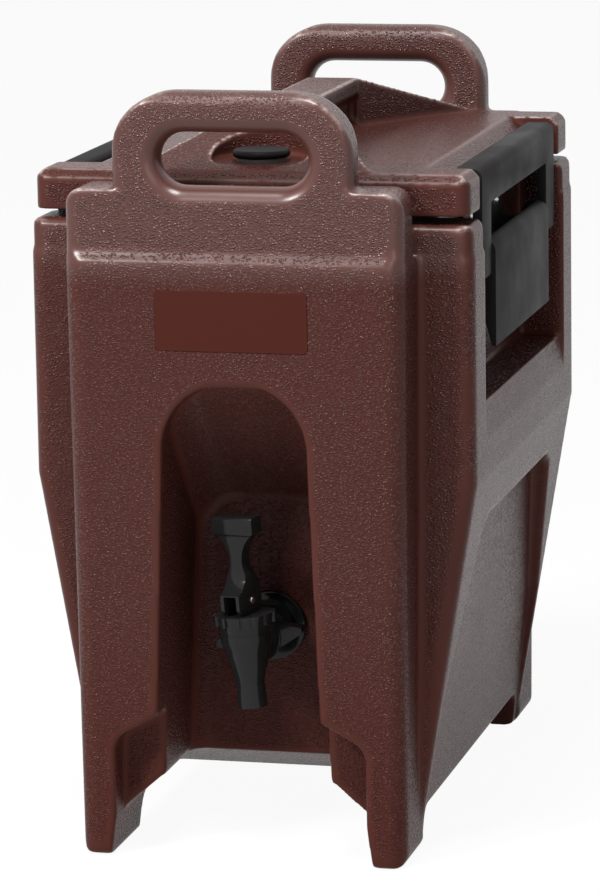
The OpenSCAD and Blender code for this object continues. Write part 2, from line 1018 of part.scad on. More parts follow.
module vent_place() {
    translate([0, -vent_y, 0])
        children();
}

// Foam inside the lid and its plug, clear of the vent
module lid_foam_form() {
    difference() {
        union() {
            along_z(lid_z + skin, lid_top_z - skin)
                soft_panel(2 * (ridge_x - skin), skin - lid_d / 2, lid_d / 2 - skin, lid_r);
            along_z(lid_z + skin - plug_h, lid_z + skin)
                soft_panel(plug_w - 2 * skin, skin - plug_d / 2, plug_d / 2 - skin, plug_r - skin);
        }
        vent_place()
            cylinder(d = vent_bore + 2 * skin, h = overall_h);
    }
}

module lid_shell() {
    color(brown)
        difference() {
            union() {
                lid_slab();
                lid_hump();
                lid_plug();
            }
            both_sides() {
                finger_groove();
                latch_trough();
            }
            vent_place() {
                translate([0, 0, seat_z])
                    cylinder(d = vent_seat_w, h = hump_h + cut);
                translate([0, 0, lid_z - plug_h - cut])
                    cylinder(d = vent_bore, h = plug_h + lid_t + hump_h);
            }
            lid_foam_form();
        }
}

module lid_foam() {
    color(cream)
        lid_foam_form();
}

// Soft ring under the lid that presses on the rim
module lid_gasket() {
    ring_w = plug_w + 2 * gasket_w;
    ring_d = plug_d + 2 * gasket_w;
    color(grey)
        along_z(rim_z + fit_clear, lid_z)
            difference() {
                soft_panel(ring_w, -ring_d / 2, ring_d / 2, plug_r + gasket_w);
                soft_panel(plug_w + 2 * fit_clear, -plug_d / 2 - fit_clear, plug_d / 2 + fit_clear, plug_r);
            }
}

// Vent cap: a domed head on a hollow stem
module vent_cap() {
    head_z = seat_z + vent_seal_t;
    stem_r_out = vent_bore / 2 - 2 * fit_clear;
    head_r = vent_cap_w / 2;
    color(black)
        vent_place()
            rotate_extrude()
                difference() {
                    union() {
                        translate([0, lid_z])
                            square([stem_r_out, head_z - lid_z]);
                        translate([0, head_z])
                            square([head_r - vent_cap_t / 2, vent_cap_t]);
                        translate([head_r - vent_cap_t / 2, head_z + vent_cap_t / 2])
                            circle(d = vent_cap_t);
                    }
                    translate([-vent_cap_w, 0])
                        square([vent_cap_w, overall_h]);
                    translate([0, lid_z - cut])
                        square([stem_r_out - skin / 2, vent_cap_t + seat_z - lid_z - 2 * cut]);
                }
}

module vent_seal() {
    color(grey)
        vent_place()
            translate([0, 0, seat_z])
                difference() {
                    cylinder(d = vent_cap_w - vent_cap_t, h = vent_seal_t);
                    translate([0, 0, -cut])
                        cylinder(r = vent_bore / 2, h = vent_seal_t + 2 * cut);
                }
}

// Latches, drawn for the right side

// Bracket: a plate on the pocket wall with two ears for the lever pin
module latch_bracket() {
    color(black)
        difference() {
            union() {
                along_x(pocket_x, pocket_x + bracket_t)
                    soft_rect(
                        -bracket_l / 2, bracket_l / 2,
                        lever_pivot_z - bracket_h / 2, lever_pivot_z + bracket_h / 2, bracket_t
                    );
                for (y = [-ear_y, ear_y])
                    along_y(y - ear_t / 2, y + ear_t / 2) {
                        translate([pivot_x, lever_pivot_z])
                            circle(hub_r);
                        polygon([
                            [pocket_x + cut, lever_pivot_z - bracket_h / 3],
                            [pivot_x, lever_pivot_z - hub_r / 2],
                            [pivot_x, lever_pivot_z + hub_r / 2],
                            [pocket_x + cut, lever_pivot_z + hub_r / 2]
                        ]);
                    }
            }
            bar_y(pivot_x, lever_pivot_z, lever_pin_d / 2, -bracket_l, bracket_l);
            screw_places()
                translate([pocket_x - cut, 0, 0])
                    rotate([0, 90, 0])
                        cylinder(r = screw_r + pin_clear, h = bracket_t + 2 * cut);
        }
}

// Section of the lever: a rolled top running down into a flat plate
module lever_section() {
    translate([pivot_x, lever_pivot_z])
        intersection() {
            difference() {
                circle(lever_roll_r);
                circle(roll_in_r);
            }
            polygon([
                [0, 0],
                [0, -2 * lever_roll_r],
                [2 * lever_roll_r, -2 * lever_roll_r],
                [2 * lever_roll_r, 2 * lever_roll_r],
                [lever_roll_r / 2, 2 * lever_roll_r]
            ]);
        }
    translate([lever_x - lever_t, lever_low_z])
        square([lever_t, lever_pivot_z - lever_low_z]);
}

// End cheek of the lever: pin hub, stud boss and a web that tapers down the plate
module cheek_section() {
    translate([pivot_x, lever_pivot_z])
        circle(lever_roll_r);
    translate([stud_x, stud_z])
        circle(bail_stud_d);
    polygon([
        [pivot_x - lever_roll_r, lever_pivot_z],
        [lever_x, lever_pivot_z],
        [lever_x, lever_low_z],
        [lever_x - lever_t, lever_low_z],
        [stud_x, stud_z - bail_stud_d],
        [stud_x - bail_stud_d, stud_z]
    ]);
}

module latch_lever() {
    half = lever_l / 2;
    color(black)
        difference() {
            union() {
                along_y(-half, half)
                    lever_section();
                for (y = [-half, half - cheek_t])
                    along_y(y, y + cheek_t)
                        cheek_section();
            }
            bar_y(pivot_x, lever_pivot_z, lever_pin_d / 2 + pin_clear, -lever_l, lever_l);
            bar_y(stud_x, stud_z, bail_stud_d / 2 + pin_clear, -lever_l, lever_l);
        }
}

module lever_pin() {
    color(steel)
        bar_y(pivot_x, lever_pivot_z, lever_pin_d / 2, -lever_l / 2, lever_l / 2);
}

// Height of the bail's underside, which runs parallel to the lid's slope
function bail_under(x) = lid_top_z - (x - ridge_x) * tan(bail_slope) + bail_clear / cos(bail_slope);

// Section of the bail's crossbar: a flat plate that rolls over the lid's edge to a round nose
module bail_bar_section() {
    nose_z = bail_under(nose_x) + bail_nose_r / cos(bail_slope);
    translate([nose_x, nose_z])
        circle(bail_nose_r);
    translate([bail_x - bail_crown_r, bail_top_z - bail_crown_r])
        circle(bail_crown_r);
    polygon([
        [nose_x, nose_z + bail_nose_r],
        [bail_x - bail_crown_r, bail_top_z],
        [bail_x, bail_top_z - bail_crown_r],
        [bail_x, bail_bar_low_z],
        [bail_in_x, bail_bar_low_z],
        [bail_in_x, bail_under(bail_in_x)],
        [nose_x - bail_nose_r * sin(bail_slope), bail_under(nose_x - bail_nose_r * sin(bail_slope))]
    ]);
}

// Section of the bail's legs: a flat strip that bends in to the stud
module bail_leg_section() {
    bend_z = lever_pivot_z + lever_roll_r;
    translate([bail_in_x, bend_z - cut])
        square([bail_t, bail_bar_low_z - bend_z + 2 * cut]);
    translate([stud_x, stud_z])
        circle(bail_stud_d);
    polygon([
        [bail_in_x, bend_z],
        [bail_x, bend_z],
        [bail_x, stud_z - bail_stud_d / 3],
        [stud_x, stud_z - bail_stud_d],
        [stud_x - bail_stud_d * cos(30), stud_z + bail_stud_d * sin(30)]
    ]);
}

module latch_bail() {
    half = bail_l / 2;
    color(black) {
        along_y(-half, half)
            bail_bar_section();
        both_ends() {
            along_y(-half, -leg_y)
                bail_leg_section();
            bar_y(stud_x, stud_z, bail_stud_d / 2, -leg_y - cut, -lever_l / 2 + cheek_t);
        }
    }
}

// Four round-headed screws that hold the bracket to the wall
module bracket_screws() {
    head_r = 2 * screw_r;
    color(steel)
        screw_places()
            translate([pocket_x + bracket_t, 0, 0])
                rotate([0, 90, 0]) {
                    cylinder(r = head_r, h = screw_r);
                    translate([0, 0, cut - skin - bracket_t])
                        cylinder(r = screw_r, h = skin + bracket_t);
                }
}

module right_latch_bracket() {
    latch_bracket();
}

module right_latch_lever() {
    latch_lever();
}

module right_latch_bail() {
    latch_bail();
}

module right_lever_pin() {
    lever_pin();
}

module right_bracket_screws() {
    bracket_screws();
}

module left_latch_bracket() {
    mirror([1, 0, 0])
        latch_bracket();
}

module left_latch_lever() {
    mirror([1, 0, 0])
        latch_lever();
}

module left_latch_bail() {
    mirror([1, 0, 0])
        latch_bail();
}

module left_lever_pin() {
    mirror([1, 0, 0])
        lever_pin();
}

module left_bracket_screws() {
    mirror([1, 0, 0])
        bracket_screws();
}

// Tap: what goes through the wall

// A ring about the inlet's axis between two depths
module inlet_ring(r_out, r_in, y0, y1) {
    difference() {
        bar_y(0, tap_z, r_out, y0, y1);
        bar_y(0, tap_z, r_in, y0 - cut, y1 + cut);
    }
}

// Threaded tube through the wall, with a flange inside the tub
module tap_shank() {
    flange_y = tub_front_y + seal_t;
    color(black)
        difference() {
            union() {
                bar_y(0, tap_z, shank_r, shank_end_y, flange_y + cut);
                bar_y(0, tap_z, shank_r + 4, flange_y, flange_y + seal_t);
            }
            bar_y(0, tap_z, bore_d / 2, shank_end_y - cut, flange_y + 2 * seal_t);
        }
}

module shank_seal() {
    color(clear_rubber)
        inlet_ring(shank_r + seal_lip, shank_r + fit_clear, tub_front_y, tub_front_y + seal_t);
}

module shank_washer() {
    color(black)
        inlet_ring(shank_r + washer_lip, shank_r + fit_clear, pad_y - washer_t, pad_y);
}

module shank_nut() {
    nut_y = pad_y - washer_t;
    color(black)
        difference() {
            along_y(nut_y - nut_t, nut_y)
                translate([0, tap_z])
                    circle(r = shank_r + 6, $fn = 6);
            bar_y(0, tap_z, shank_r + fit_clear, nut_y - nut_t - cut, nut_y + cut);
        }
}

module union_washer() {
    color(clear_rubber)
        inlet_ring(shank_r - 0.5, bore_d / 2, shank_end_y - union_t, shank_end_y);
}

// Winged union nut that draws the tap's collar against the shank
module wing_nut() {
    nut_front = collar_y - collar_t - fit_clear - union_wall;
    nut_back = nut_front + wing_nut_l;
    hub = shank_r + 3.5;
    wing_t = 5;
    wing_deep = 11;
    color(black)
        difference() {
            union() {
                bar_y(0, tap_z, hub, nut_front, nut_back);
                translate([0, 0, tap_z])
                    rotate([0, -wing_nut_turn, 0])
                        along_y(nut_front + 2, nut_front + 2 + wing_deep)
                            both_sides() {
                                polygon([
                                    [0, -hub / 2],
                                    [hub, -hub / 2],
                                    [wing_nut_r - wing_t / 2, -wing_t / 2],
                                    [wing_nut_r - wing_t / 2, wing_t / 2],
                                    [hub, hub / 2],
                                    [0, hub / 2]
                                ]);
                                translate([wing_nut_r - wing_t / 2, 0])
                                    circle(d = wing_t);
                            }
            }
            bar_y(0, tap_z, shank_r + fit_clear, nut_front + union_wall, nut_back + cut);
            bar_y(0, tap_z, inlet_r + fit_clear, nut_front - cut, nut_back);
        }
}

// Tap: what stands on its upright axis

module tap_place() {
    translate([0, tap_y, tap_z])
        rotate([0, -tap_lean, 0])
            children();
}

module lever_place() {
    tap_place()
        rotate([0, 0, -lever_turn])
            children();
}

// Turned outline of the tap body: nozzle, cone, cup and the threaded neck
module tap_body_section() {
    polygon([
        [0, -nozzle_drop],
        [nozzle_r + 0.4, -nozzle_drop],
        [nozzle_r, cone_low],
        [cup_r, cone_top],
        [cup_r, bonnet_low],
        [thread_r, bonnet_low],
        [thread_r, bonnet_top - 3],
        [0, bonnet_top - 3]
    ]);
}

module tap_body() {
    color(black)
        difference() {
            union() {
                tap_place()
                    rotate_extrude()
                        tap_body_section();
                bar_y(0, tap_z, inlet_r, tap_y, collar_y - collar_t + cut);
                bar_y(0, tap_z, shank_r, collar_y - collar_t, collar_y);
            }
            bar_y(0, tap_z, bore_d / 2, tap_y, collar_y + cut);
            tap_place() {
                translate([0, 0, chamber_low])
                    cylinder(r = chamber_r, h = bonnet_top - chamber_low);
                translate([0, 0, -nozzle_drop - cut])
                    cylinder(d = bore_d, h = nozzle_drop);
            }
        }
}

// Bonnet: a cap screwed over the neck, with grip ribs round its edge
module tap_bonnet() {
    rib_w = 3;
    color(black)
        tap_place()
            difference() {
                union() {
                    translate([0, 0, bonnet_low])
                        cylinder(r1 = cup_r + 0.6, r2 = bonnet_r - 1, h = bonnet_top - bonnet_low);
                    for (i = [0 : bonnet_ribs - 1])
                        rotate([0, 0, i * 360 / bonnet_ribs])
                            translate([bonnet_r - rib_w, -rib_w / 2, bonnet_top - 2 * rib_w])
                                cube([rib_w, rib_w, 2 * rib_w]);
                }
                translate([0, 0, bonnet_low - cut])
                    cylinder(r = thread_r + fit_clear, h = bonnet_top - 3 - bonnet_low + cut);
                cylinder(r = stem_r + pin_clear, h = bonnet_top + cut);
            }
}

// A bar crosswise through the lever pin's place
module bar_pin(r, half) {
    translate([-half, 0, pin_up])
        rotate([0, 90, 0])
            cylinder(r = r, h = 2 * half);
}

// Stem with an eye for the lever pin
module valve_stem() {
    head = cheek_in - 0.4;
    foot = bonnet_top + foot_clear;
    color(black)
        lever_place()
            difference() {
                union() {
                    cylinder(r = stem_r, h = pin_up);
                    bar_pin(stem_head_r, head);
                    translate([-head, -stem_head_r, foot])
                        cube([2 * head, 2 * stem_head_r, pin_up - foot]);
                }
                bar_pin(tap_pin_d / 2 + pin_clear, 2 * head);
            }
}

// Soft bell that closes the outlet, carried on the stem
module seat_cup() {
    color(clear_rubber)
        tap_place()
            rotate_extrude()
                polygon([
                    [0, chamber_low + 0.2],
                    [bore_d / 2 + 2.5, chamber_low + 0.2],
                    [bore_d / 2 + 2.5, chamber_low + 3],
                    [bore_d / 2, chamber_low + 6],
                    [bore_d / 2, bonnet_low - 2],
                    [chamber_r - 0.5, bonnet_low],
                    [chamber_r - 0.5, bonnet_low + 2],
                    [stem_r + pin_clear, bonnet_low + 2],
                    [stem_r + pin_clear, -pin_clear],
                    [0, -pin_clear]
                ]);
}

// Front outline of the lever: forked foot, curved neck and crosswise head
module lever_front() {
    foot = bonnet_top + foot_clear;
    head_half = tap_head_w / 2;
    difference() {
        polygon([
            [-lever_foot_w / 2, foot],
            [lever_foot_w / 2, foot],
            [lever_foot_w / 2, neck_z],
            [head_half, neck_z],
            [head_half, lever_top],
            [-head_half, lever_top],
            [-head_half, neck_z],
            [-lever_foot_w / 2, neck_z]
        ]);
        for (side = [-1, 1])
            translate([side * (lever_neck_w / 2 + neck_curve_r), neck_z])
                circle(neck_curve_r);
    }
}

// Side outline of the lever: a round-heeled foot that draws up into the neck, and a thicker head
module lever_side() {
    foot = bonnet_top + foot_clear;
    neck_front = -5;
    neck_back = 4;
    difference() {
        soft_rect(-lever_heel, lever_toe, foot, flare_z + lever_heel, 5);
        translate([neck_front - heel_curve_r, flare_z])
            circle(heel_curve_r);
        translate([neck_back + toe_curve_r, flare_z + 2])
            circle(toe_curve_r);
        translate([-2 * lever_heel, flare_z])
            square([4 * lever_heel, 2 * lever_heel]);
    }
    translate([neck_front, flare_z - cut])
        square([neck_back - neck_front, lever_top - flare_z - 2]);
    soft_rect(neck_front - 0.8, neck_back + 1.2, lever_top - head_h, lever_top, 2);
}

module tap_lever() {
    fork_top = pin_up + stem_head_r + 0.5;
    color(black)
        lever_place()
            difference() {
                intersection() {
                    along_y(-tap_head_w, tap_head_w)
                        lever_front();
                    along_x(-tap_head_w, tap_head_w)
                        lever_side();
                }
                along_x(-cheek_in, cheek_in)
                    soft_rect(-tap_head_w, tap_head_w, 0, fork_top, 2);
                bar_pin(tap_pin_d / 2, tap_head_w);
            }
}

module tap_pin() {
    color(steel)
        lever_place()
            bar_pin(tap_pin_d / 2, lever_foot_w / 2 + 0.5);
}

body_shell();
front_end();
rear_end();
front_grip();
rear_grip();
feet();
foam_core();
tub_liner();
lid_shell();
lid_foam();
lid_gasket();
vent_cap();
vent_seal();
right_latch_bracket();
right_latch_lever();
right_latch_bail();
right_lever_pin();
right_bracket_screws();
left_latch_bracket();
left_latch_lever();
left_latch_bail();
left_lever_pin();
left_bracket_screws();
tap_shank();
shank_seal();
shank_washer();
shank_nut();
union_washer();
wing_nut();
tap_body();
tap_bonnet();
valve_stem();
seat_cup();
tap_lever();
tap_pin();
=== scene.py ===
# %% [markdown]
# # An insulated drink carrier
#
# The carrier is a tall double-walled box, moulded in one piece of brown plastic and filled with
# foam. A lid closes it, two draw latches hold the lid down, and a tap sits in a recess at the
# front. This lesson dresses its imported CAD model: the solids stay where they are, and each
# visible piece gets the soft edges and the finish of the real thing. Everything is in metres.

# %% Load the frame
import json
import math

import bmesh
import bpy
import numpy as np
from mathutils import Matrix, Vector

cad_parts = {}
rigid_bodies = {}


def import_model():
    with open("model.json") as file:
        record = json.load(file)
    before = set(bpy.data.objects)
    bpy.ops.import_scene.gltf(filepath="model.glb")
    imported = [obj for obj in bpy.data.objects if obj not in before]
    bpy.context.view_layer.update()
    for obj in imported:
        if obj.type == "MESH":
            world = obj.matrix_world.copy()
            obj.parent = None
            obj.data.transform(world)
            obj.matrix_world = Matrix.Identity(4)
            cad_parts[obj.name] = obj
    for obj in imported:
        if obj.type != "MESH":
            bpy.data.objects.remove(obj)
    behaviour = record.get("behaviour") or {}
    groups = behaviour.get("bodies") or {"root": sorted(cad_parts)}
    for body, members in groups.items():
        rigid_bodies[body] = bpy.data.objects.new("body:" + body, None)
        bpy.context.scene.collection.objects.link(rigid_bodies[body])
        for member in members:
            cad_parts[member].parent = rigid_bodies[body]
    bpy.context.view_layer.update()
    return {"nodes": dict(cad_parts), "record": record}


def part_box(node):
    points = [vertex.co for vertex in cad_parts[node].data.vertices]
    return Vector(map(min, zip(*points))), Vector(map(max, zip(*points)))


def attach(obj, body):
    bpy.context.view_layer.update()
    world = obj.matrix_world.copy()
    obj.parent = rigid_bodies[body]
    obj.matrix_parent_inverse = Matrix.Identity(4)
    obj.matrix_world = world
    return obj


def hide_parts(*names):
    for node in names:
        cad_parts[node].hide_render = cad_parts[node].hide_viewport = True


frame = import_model()
scene = bpy.context.scene

# %% [markdown]
# ## The camera
#
# The picture was taken from a little above and a little to the right with a long lens. Where the
# lens stood was worked out from known edges of the carrier, so the camera is given by its
# distance, its turn, its height angle and a slight roll. A long lens keeps upright edges nearly
# parallel. No shift and no depth of field are used, so that other views stay plain.

# %% Camera
turn, climb, roll = math.radians(14.02), math.radians(11.2), -0.0156
target, distance = Vector((0.0, 0.0, 0.233)), 2.844901
slide_right, slide_up = -0.0103, -0.0166786
sensor_mm = 36.0
focal_pixels, picture_pixels = 4455.8, 894.0

away = Vector((math.sin(turn) * math.cos(climb), -math.cos(turn) * math.cos(climb), math.sin(climb)))
level = Vector((math.cos(turn), math.sin(turn), 0.0))
upright = level.cross(-away)
camera_right = math.cos(roll) * level + math.sin(roll) * upright
camera_up = -math.sin(roll) * level + math.cos(roll) * upright
lens_place = target + away * distance + camera_right * slide_right + camera_up * slide_up

camera_data = bpy.data.cameras.new("photo_camera")
camera_data.sensor_width = sensor_mm
camera_data.lens = sensor_mm * focal_pixels / picture_pixels
camera = bpy.data.objects.new("photo_camera", camera_data)
camera.matrix_world = Matrix((camera_right, camera_up, away)).transposed().to_4x4()
camera.location = lens_place
scene.collection.objects.link(camera)
scene.camera = camera
print("camera at", [round(v, 3) for v in lens_place], "lens", round(camera_data.lens, 1), "mm")

# %% [markdown]
# ## Building finishes from nodes
#
# Every finish of the carrier is a small tree of nodes that reads Object coordinates, so its grain
# keeps its real size in metres on every piece. A few short helpers keep the trees readable: one adds
# a node with its settings and inputs, and the others add arithmetic, a smooth step, noise or a mix
# of colours.

# %% Node helpers
def new_finish(name):
    """A material, its node tree and its main shader."""
    material = bpy.data.materials.new(name)
    material.use_nodes = True
    return material, material.node_tree, material.node_tree.nodes["Principled BSDF"]


def put(tree, kind, settings, inputs):
    """Adds a node. An input that is given a socket is linked, any other is set."""
    made = tree.nodes.new(kind)
    for key, value in settings.items():
        setattr(made, key, value)
    for key, value in inputs.items():
        if isinstance(value, bpy.types.NodeSocket):
            tree.links.new(value, made.inputs[key])
        else:
            made.inputs[key].default_value = value
    return made


def sums(tree, operation, first, second=0.0, third=0.0):
    """The result of one step of arithmetic."""
    return put(tree, "ShaderNodeMath", {"operation": operation}, {0: first, 1: second, 2: third}).outputs[0]


def times(tree, first, second):
    return sums(tree, "MULTIPLY", first, second)


def vectors(tree, operation, *given):
    """The result of one step of arithmetic on vectors."""
    return put(tree, "ShaderNodeVectorMath", {"operation": operation}, dict(enumerate(given))).outputs[0]


def spread(tree, value, low, high, out_low=0.0, out_high=1.0):
    """A smooth change from out_low to out_high while value goes from low to high."""
    made = put(tree, "ShaderNodeMapRange", {"interpolation_type": "SMOOTHSTEP"},
               {"Value": value, "From Min": low, "From Max": high, "To Min": out_low, "To Max": out_high})
    return made.outputs["Result"]


def speckle(tree, coords, scale, detail=2.0):
    """Soft noise between 0 and 1."""
    made = put(tree, "ShaderNodeTexNoise", {}, {"Vector": coords, "Scale": scale, "Detail": detail})
    return made.outputs["Fac"]


def mixed(tree, share, first, second):
    """One colour turning into another."""
    made = put(tree, "ShaderNodeMix", {"data_type": "RGBA"}, {0: share, 6: first, 7: second})
    return made.outputs[2]


print("node helpers ready")

# %% [markdown]
# ## Where the brown plastic differs
#
# The flat walls of the carrier have a leathery grain, but some places are smooth: the sunk bed for
# a label on the front, and the flared lips of the hand holes. Two more places are set to come nearer
# the light in the picture: the grips and the wall just below them are a little paler, a painted
# highlight, and shinier, and the walls shine less towards the floor. Each place could be painted by
# hand, but a distance from a rounded rectangle, or a height, needs no image and keeps its size in metres.

# %% Smooth and shiny places
grip_low, grip_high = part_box("front_grip")
grip_inner_y = -grip_high.y
label_bed = {"middle": (0.0, -0.206, 0.33175), "half": (0.0465, 0.006, 0.01825), "corner": 0.003}
bed_rim = 0.0003
hole_below_top, hole_half_height = 0.0405, 0.016
hand_hole = {"middle": (0.0, 0.0, grip_high.z - hole_below_top), "half": (0.0455, 1.0, hole_half_height),
             "corner": hole_half_height}
lip_reach = (0.0075, 0.0100)
area_below_grip, area_inside_grip = (0.036, 0.018), (0.008, 0.001)
dull_heights, dull_share = (0.02, 0.20), 0.30


def rounded_bed(tree, coords, middle, half, corner):
    """Distance in metres from the edge of a rounded rectangle on an end wall, negative inside."""
    size = vectors(tree, "ABSOLUTE", vectors(tree, "SUBTRACT", coords, middle))
    inner = (half[0] - corner, half[1], half[2] - corner)
    only = vectors(tree, "MAXIMUM", vectors(tree, "SUBTRACT", size, inner), (0.0, 0.0, 0.0))
    length = put(tree, "ShaderNodeVectorMath", {"operation": "LENGTH"}, {0: only}).outputs["Value"]
    return sums(tree, "SUBTRACT", length, corner)


def special_places(tree, coords):
    """Shares from 0 to 1: the label's bed, the area of the grips, the holes' lips, and shine by height."""
    in_bed = spread(tree, rounded_bed(tree, coords, **label_bed), -bed_rim, bed_rim, 1.0, 0.0)
    place = put(tree, "ShaderNodeSeparateXYZ", {}, {"Vector": coords}).outputs
    high_up = spread(tree, place["Z"], *(grip_low.z - gap for gap in area_below_grip))
    end_distance = sums(tree, "ABSOLUTE", place["Y"])
    at_ends = spread(tree, end_distance, *(grip_inner_y - gap for gap in area_inside_grip))
    grip_area = times(tree, high_up, at_ends)
    near_hole = spread(tree, rounded_bed(tree, coords, **hand_hole), *lip_reach, 1.0, 0.0)
    height_shine = spread(tree, place["Z"], *dull_heights, dull_share, 1.0)
    return in_bed, grip_area, times(tree, grip_area, near_hole), height_shine


print("label bed", label_bed["half"][0] * 2, "m wide, hand hole at", round(hand_hole["middle"][2], 4), "m")

# %% [markdown]
# ## The brown moulded plastic
#
# The carrier is cast by tumbling powder in a hot mould. The mould's flat walls are etched with a
# grain of about two millimetres, while the tight edges come out smooth. The grain could be an
# image, but cells of a Voronoi pattern, pushed about by noise, give it at the right size
# everywhere. The mesh itself says where it is flat, in an attribute that is worked out later, and
# the grain fades out where the surface bends. The crowns of the grain shine more than the valleys,
# so that a strong lamp makes them glint, and their tone is a painted highlight on the crowns and
# painted shade in the valleys. Edges that face up get a pale, broken tone: a few pale scuffs, and
# mostly a painted highlight of the light that falls on them from above.

# %% Brown plastic
# The crown and valley tones paint light on the grain's crowns and shade in its valleys.
valley_shaded_brown, crown_lit_brown = (0.043, 0.0120, 0.0092, 1.0), (0.090, 0.0330, 0.0275, 1.0)
smooth_dark, smooth_light = (0.050, 0.0145, 0.0108, 1.0), (0.063, 0.0195, 0.0148, 1.0)
bed_brown = (0.045, 0.0118, 0.0080, 1.0)
# The grips' paler tone is a painted highlight.
grip_painted_highlight = (0.19, 0.120, 0.112, 1.0)
# The pale tone of upward edges is a few pale scuffs and mostly a painted highlight.
edge_scuff_and_highlight_brown = (0.42, 0.340, 0.325, 1.0)
bed_share, grip_highlight_share, edge_scuff_and_highlight_share = 0.8, 0.06, 0.80
smooth_rough, grainy_rough = 0.30, 0.33
smooth_shine, crown_shine, grip_shine, bed_dulling = 0.10, 0.36, 0.26, 0.08
push_scale, push_reach = 480.0, (0.0016, 0.0016, 0.0010)
cell_scale, cell_stretch, cell_smoothness = 600.0, (0.8, 0.8, 1.25), 0.20
crown_span, fine_span, speck_span = (0.08, 0.52), (0.42, 0.66), (0.30, 0.56)
cloud_scale, speck_scale, fine_scale = 9.0, 240.0, 520.0
fine_part = 0.25
cloud_rough, relief_rough = 0.12, 0.16
pebble_depth = 0.0010
bed_depth = 0.0010


def leathery_grain(tree, coords):
    """The grain's height, from 0 in a valley to 1 on a crown, and a rougher mix of it for the tone's painted
    shade and light.
    """
    noise = put(tree, "ShaderNodeTexNoise", {}, {"Vector": coords, "Scale": push_scale, "Detail": 1.0})
    pushed = vectors(tree, "MULTIPLY_ADD", noise.outputs["Color"], push_reach, coords)
    pushed = vectors(tree, "MULTIPLY", pushed, cell_stretch)
    cells = put(tree, "ShaderNodeTexVoronoi", {"feature": "SMOOTH_F1"},
                {"Vector": pushed, "Scale": cell_scale, "Smoothness": cell_smoothness})
    crown = spread(tree, cells.outputs["Distance"], *crown_span, 1.0, 0.0)
    fine = spread(tree, speckle(tree, pushed, fine_scale, 2.0), *fine_span)
    relief = sums(tree, "ADD", times(tree, crown, 1.0 - fine_part), times(tree, fine, fine_part))
    return crown, relief


def brown_plastic():
    material, tree, main = new_finish("brown_plastic")
    coords = put(tree, "ShaderNodeTexCoord", {}, {}).outputs["Object"]
    flat = put(tree, "ShaderNodeAttribute", {"attribute_name": "flatness"}, {}).outputs["Fac"]
    edge = put(tree, "ShaderNodeAttribute", {"attribute_name": "edge"}, {}).outputs["Fac"]
    in_bed, grip_area, lip, height_shine = special_places(tree, coords)
    crown, relief = leathery_grain(tree, coords)
    cloud = speckle(tree, coords, cloud_scale, 3.0)
    # Upward edges: a few pale scuffs and mostly a painted highlight.
    edge_scuff_and_highlight_mask = times(tree, edge, spread(tree, speckle(tree, coords, speck_scale, 4.0), *speck_span))
    grain = flat
    for bare in (in_bed, edge, lip):
        grain = times(tree, grain, sums(tree, "SUBTRACT", 1.0, bare))

    smooth = mixed(tree, cloud, smooth_dark, smooth_light)
    # The grain's tone: painted highlight on the crowns, painted shade in the valleys.
    tone = mixed(tree, grain, smooth, mixed(tree, relief, valley_shaded_brown, crown_lit_brown))
    tone = mixed(tree, times(tree, in_bed, bed_share), tone, bed_brown)
    # A painted highlight on the grips and the wall below them.
    tone = mixed(tree, times(tree, grip_area, grip_highlight_share), tone, grip_painted_highlight)
    # A few pale scuffs and mostly a painted highlight on edges that face up.
    tone = mixed(tree, times(tree, edge_scuff_and_highlight_mask, edge_scuff_and_highlight_share), tone, edge_scuff_and_highlight_brown)
    tree.links.new(tone, main.inputs["Base Color"])

    rough = spread(tree, grain, 0.0, 1.0, smooth_rough, grainy_rough)
    rough = sums(tree, "ADD", rough, times(tree, sums(tree, "SUBTRACT", cloud, 0.5), cloud_rough))
    rough = sums(tree, "SUBTRACT", rough, times(tree, times(tree, grain, relief), relief_rough))
    tree.links.new(rough, main.inputs["Roughness"])

    shine = spread(tree, times(tree, grain, crown), 0.0, 1.0, smooth_shine, crown_shine)
    shine = sums(tree, "ADD", times(tree, shine, height_shine), times(tree, grip_area, grip_shine))
    shine = sums(tree, "SUBTRACT", shine, times(tree, in_bed, bed_dulling))
    tree.links.new(shine, main.inputs["Specular IOR Level"])

    step = put(tree, "ShaderNodeBump", {}, {"Strength": 1.0, "Distance": bed_depth, "Height": in_bed})
    bump = put(tree, "ShaderNodeBump", {}, {"Strength": grain, "Distance": pebble_depth,
                                            "Height": crown, "Normal": step.outputs["Normal"]})
    tree.links.new(bump.outputs["Normal"], main.inputs["Normal"])
    return material


brown = brown_plastic()
print("made", brown.name, "with", len(brown.node_tree.nodes), "nodes")

# %% [markdown]
# ## The smaller finishes
#
# The latches and the vent cap are satin black plastic with a faint even texture, and the tap is
# glossy black plastic. The pins and the screws are drawn steel. The seals are soft grey or clear
# rubber, and the foam between the walls never shows. Each could be one flat colour, but that looks
# painted, so each gets its own noise for tone, roughness and surface.

# %% Black plastics, steel and rubber
def moulded(name, dark, light, rough, grain_scale, grain_depth, tone_scale=30.0, shine=0.4):
    """A moulded finish: two tones, a roughness that varies a little, and a fine surface texture."""
    material, tree, main = new_finish(name)
    coords = put(tree, "ShaderNodeTexCoord", {}, {}).outputs["Object"]
    cloud = speckle(tree, coords, tone_scale, 3.0)
    tree.links.new(mixed(tree, cloud, dark, light), main.inputs["Base Color"])
    main.inputs["Specular IOR Level"].default_value = shine
    tree.links.new(spread(tree, cloud, 0.3, 0.7, rough[0], rough[1]), main.inputs["Roughness"])
    bump = put(tree, "ShaderNodeBump", {}, {"Strength": 0.5, "Distance": grain_depth,
                                            "Height": speckle(tree, coords, grain_scale, 2.0)})
    tree.links.new(bump.outputs["Normal"], main.inputs["Normal"])
    return material, main


